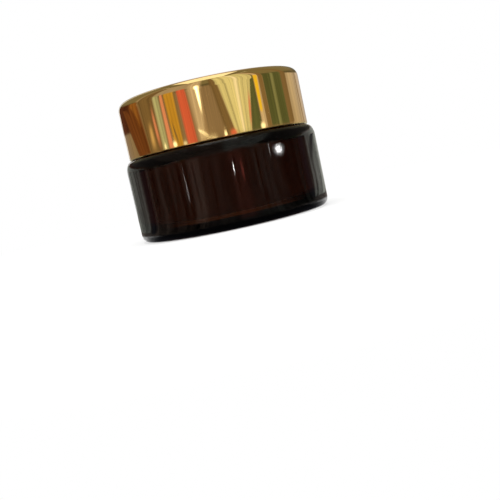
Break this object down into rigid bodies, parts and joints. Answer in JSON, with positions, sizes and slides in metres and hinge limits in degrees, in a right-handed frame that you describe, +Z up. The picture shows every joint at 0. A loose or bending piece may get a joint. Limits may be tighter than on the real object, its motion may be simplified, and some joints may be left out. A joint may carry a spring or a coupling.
{
  "type": "cosmetic cream jar",
  "caption": "Low round amber glass cream jar with a mirror-bright gold screw lid, threaded neck, pull-tab sealing disc, foam liner and cream inside.",
  "frame": {"origin": "centre of the circle that the jar stands on", "axes": "+Z up along the jar's and the thread's axis; the outside is round, so X and Y are free, with the pull tab's free end towards +X"},
  "size_m": [0.06, 0.06, 0.0432],
  "materials": {
    "amber_glass": "clear dark amber glass, fire-polished",
    "cream": "soft cream, satin",
    "disc_plastic": "natural translucent moulded plastic",
    "liner_foam": "white closed-cell foam",
    "cap_plastic": "white moulded plastic, satin",
    "gold_metal": "gold anodised, mirror bright"
  },
  "bodies": {
    "jar": {"glass_jar": "amber_glass", "cream_fill": "cream"},
    "disc": {"sealing_disc": "disc_plastic"},
    "liner": {"lid_liner": "liner_foam"},
    "lid": {"lid_inner_cap": "cap_plastic", "lid_shell": "gold_metal"}
  },
  "joints": [
    {"name": "disc_lift", "type": "slide", "parent": "jar", "child": "disc", "axis": [0, 0, 1], "range_m": [0, 0.006]},
    {"name": "lid_lift", "type": "slide", "parent": "jar", "child": "liner", "axis": [0, 0, 1], "range_m": [0, 0.02]},
    {"name": "lid_turn", "type": "hinge", "parent": "liner", "child": "lid", "pos_m": [0, 0, 0], "axis": [0, 0, 1], "range_deg": [0, 1800]}
  ],
  "couplings": [
    {"joint": "lid_lift", "follows": "lid_turn", "m_per_rad": 0.00063662},
    {"joint": "disc_lift", "follows": "lid_turn", "m_per_rad": 0.00019099}
  ]
}
